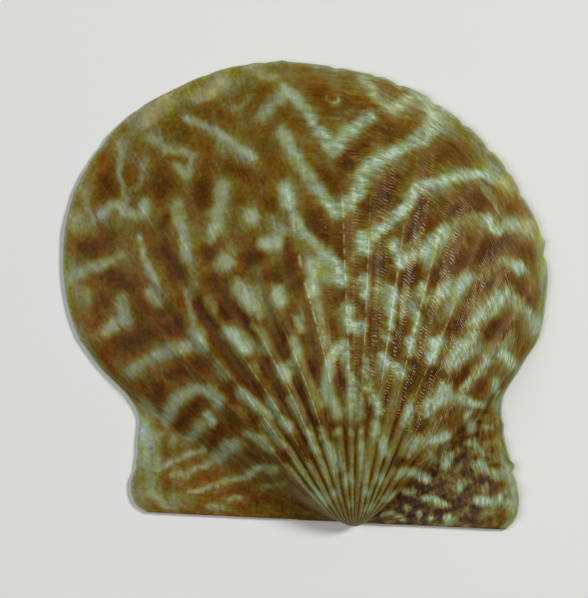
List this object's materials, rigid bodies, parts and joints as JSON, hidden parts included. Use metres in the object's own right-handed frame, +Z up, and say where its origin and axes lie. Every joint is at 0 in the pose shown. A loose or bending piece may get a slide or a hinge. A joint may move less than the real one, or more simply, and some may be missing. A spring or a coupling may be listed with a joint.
{
  "type": "scallop shell",
  "caption": "One valve of a small wide-eared scallop, ribbed and domed, brown with pale zigzag marks, lying hollow side down.",
  "frame": {"origin": "middle of the valve's footprint, on the surface it lies on", "axes": "+X forward along the hinge line, towards the front ear; +Y from the hinge to the lower margin; +Z up, out of the convex outer face"},
  "size_m": [0.0282, 0.0266, 0.0055],
  "materials": {
    "shell": "satin"
  },
  "bodies": {
    "root": {"left_valve": "shell"}
  },
  "joints": []
}
